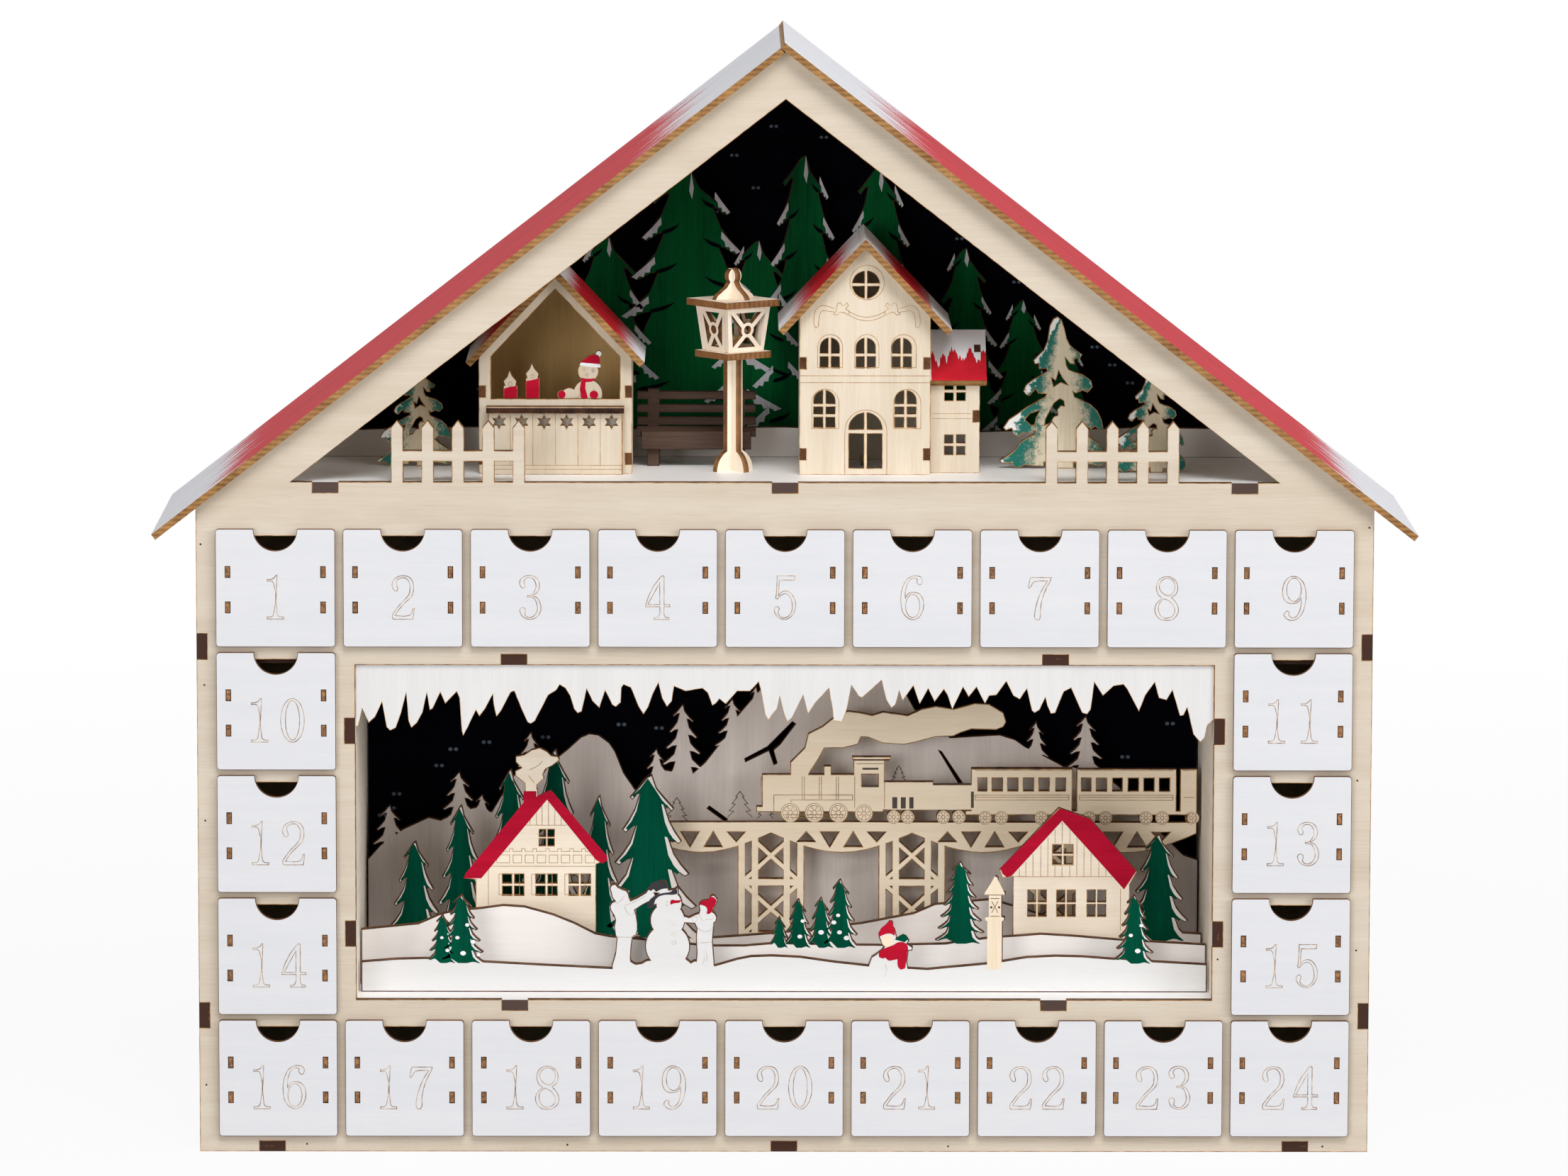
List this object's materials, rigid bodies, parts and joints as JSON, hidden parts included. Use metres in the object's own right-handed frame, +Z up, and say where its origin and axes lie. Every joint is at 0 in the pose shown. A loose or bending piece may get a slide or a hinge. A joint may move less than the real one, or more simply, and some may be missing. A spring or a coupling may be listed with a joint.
{
  "type": "wooden advent calendar",
  "caption": "House-shaped plywood advent calendar with numbered drawers round a layered snow scene and an open attic with a small market square.",
  "frame": {"origin": "on the table, at the middle of the roof's footprint", "axes": "+Z up, the front with the drawers faces -Y, +X to the right seen from the front"},
  "size_m": [0.45, 0.117, 0.3987],
  "materials": {
    "plywood": "satin",
    "thin_ply": "satin",
    "white_paint": "matte",
    "drawer_paint": "matte",
    "snow_paint": "matte",
    "roof_paint": "matte",
    "green_stain": "matte",
    "grey_stain": "matte",
    "night_stain": "matte",
    "dark_stain": "matte",
    "wire": "satin",
    "black_plastic": "satin",
    "white_plastic": "satin"
  },
  "bodies": {
    "case": {"front_panel": "plywood", "back_panel": "plywood", "left_wall": "plywood", "right_wall": "plywood", "base_board": "plywood", "attic_floor": "white_paint", "roof_left": "roof_paint", "roof_right": "roof_paint", "stage_ceiling": "plywood", "stage_floor": "plywood", "stage_side_walls": "plywood", "drawer_shelves": "plywood", "drawer_dividers": "plywood", "icicle_valance": "snow_paint", "snow_front": "snow_paint", "snow_middle": "snow_paint", "cottages": "thin_ply", "fir_row": "green_stain", "railway": "thin_ply", "mountains": "grey_stain", "night_skies": "night_stain", "attic_forest": "green_stain", "attic_hill": "grey_stain", "bench": "dark_stain", "attic_firs": "thin_ply", "stall_walls": "thin_ply", "stall_counter": "thin_ply", "stall_roof": "roof_paint", "lantern_post": "thin_ply", "lantern_cage": "thin_ply", "house_walls": "thin_ply", "house_roof": "roof_paint", "light_string": "wire", "battery_box": "black_plastic"},
    "drawer_01": {"drawer_01": "drawer_paint"},
    "drawer_02": {"drawer_02": "drawer_paint"},
    "drawer_03": {"drawer_03": "drawer_paint"},
    "drawer_04": {"drawer_04": "drawer_paint"},
    "drawer_05": {"drawer_05": "drawer_paint"},
    "drawer_06": {"drawer_06": "drawer_paint"},
    "drawer_07": {"drawer_07": "drawer_paint"},
    "drawer_08": {"drawer_08": "drawer_paint"},
    "drawer_09": {"drawer_09": "drawer_paint"},
    "drawer_10": {"drawer_10": "drawer_paint"},
    "drawer_11": {"drawer_11": "drawer_paint"},
    "drawer_12": {"drawer_12": "drawer_paint"},
    "drawer_13": {"drawer_13": "drawer_paint"},
    "drawer_14": {"drawer_14": "drawer_paint"},
    "drawer_15": {"drawer_15": "drawer_paint"},
    "drawer_16": {"drawer_16": "drawer_paint"},
    "drawer_17": {"drawer_17": "drawer_paint"},
    "drawer_18": {"drawer_18": "drawer_paint"},
    "drawer_19": {"drawer_19": "drawer_paint"},
    "drawer_20": {"drawer_20": "drawer_paint"},
    "drawer_21": {"drawer_21": "drawer_paint"},
    "drawer_22": {"drawer_22": "drawer_paint"},
    "drawer_23": {"drawer_23": "drawer_paint"},
    "drawer_24": {"drawer_24": "drawer_paint"},
    "battery_door": {"battery_door": "black_plastic"},
    "switch_knob": {"switch_knob": "white_plastic"}
  },
  "joints": [
    {"name": "drawer_01_slide", "type": "slide", "parent": "case", "child": "drawer_01", "axis": [0, -1, 0], "range_m": [0, 0.085]},
    {"name": "drawer_02_slide", "type": "slide", "parent": "case", "child": "drawer_02", "axis": [0, -1, 0], "range_m": [0, 0.085]},
    {"name": "drawer_03_slide", "type": "slide", "parent": "case", "child": "drawer_03", "axis": [0, -1, 0], "range_m": [0, 0.085]},
    {"name": "drawer_04_slide", "type": "slide", "parent": "case", "child": "drawer_04", "axis": [0, -1, 0], "range_m": [0, 0.085]},
    {"name": "drawer_05_slide", "type": "slide", "parent": "case", "child": "drawer_05", "axis": [0, -1, 0], "range_m": [0, 0.085]},
    {"name": "drawer_06_slide", "type": "slide", "parent": "case", "child": "drawer_06", "axis": [0, -1, 0], "range_m": [0, 0.085]},
    {"name": "drawer_07_slide", "type": "slide", "parent": "case", "child": "drawer_07", "axis": [0, -1, 0], "range_m": [0, 0.085]},
    {"name": "drawer_08_slide", "type": "slide", "parent": "case", "child": "drawer_08", "axis": [0, -1, 0], "range_m": [0, 0.085]},
    {"name": "drawer_09_slide", "type": "slide", "parent": "case", "child": "drawer_09", "axis": [0, -1, 0], "range_m": [0, 0.085]},
    {"name": "drawer_10_slide", "type": "slide", "parent": "case", "child": "drawer_10", "axis": [0, -1, 0], "range_m": [0, 0.085]},
    {"name": "drawer_11_slide", "type": "slide", "parent": "case", "child": "drawer_11", "axis": [0, -1, 0], "range_m": [0, 0.085]},
    {"name": "drawer_12_slide", "type": "slide", "parent": "case", "child": "drawer_12", "axis": [0, -1, 0], "range_m": [0, 0.085]},
    {"name": "drawer_13_slide", "type": "slide", "parent": "case", "child": "drawer_13", "axis": [0, -1, 0], "range_m": [0, 0.085]},
    {"name": "drawer_14_slide", "type": "slide", "parent": "case", "child": "drawer_14", "axis": [0, -1, 0], "range_m": [0, 0.085]},
    {"name": "drawer_15_slide", "type": "slide", "parent": "case", "child": "drawer_15", "axis": [0, -1, 0], "range_m": [0, 0.085]},
    {"name": "drawer_16_slide", "type": "slide", "parent": "case", "child": "drawer_16", "axis": [0, -1, 0], "range_m": [0, 0.085]},
    {"name": "drawer_17_slide", "type": "slide", "parent": "case", "child": "drawer_17", "axis": [0, -1, 0], "range_m": [0, 0.085]},
    {"name": "drawer_18_slide", "type": "slide", "parent": "case", "child": "drawer_18", "axis": [0, -1, 0], "range_m": [0, 0.085]},
    {"name": "drawer_19_slide", "type": "slide", "parent": "case", "child": "drawer_19", "axis": [0, -1, 0], "range_m": [0, 0.085]},
    {"name": "drawer_20_slide", "type": "slide", "parent": "case", "child": "drawer_20", "axis": [0, -1, 0], "range_m": [0, 0.085]},
    {"name": "drawer_21_slide", "type": "slide", "parent": "case", "child": "drawer_21", "axis": [0, -1, 0], "range_m": [0, 0.085]},
    {"name": "drawer_22_slide", "type": "slide", "parent": "case", "child": "drawer_22", "axis": [0, -1, 0], "range_m": [0, 0.085]},
    {"name": "drawer_23_slide", "type": "slide", "parent": "case", "child": "drawer_23", "axis": [0, -1, 0], "range_m": [0, 0.085]},
    {"name": "drawer_24_slide", "type": "slide", "parent": "case", "child": "drawer_24", "axis": [0, -1, 0], "range_m": [0, 0.085]},
    {"name": "battery_door_slide", "type": "slide", "parent": "case", "child": "battery_door", "axis": [-1, 0, 0], "range_m": [0, 0.054]},
    {"name": "switch_travel", "type": "slide", "parent": "case", "child": "switch_knob", "axis": [1, 0, 0], "range_m": [0, 0.0034]}
  ]
}
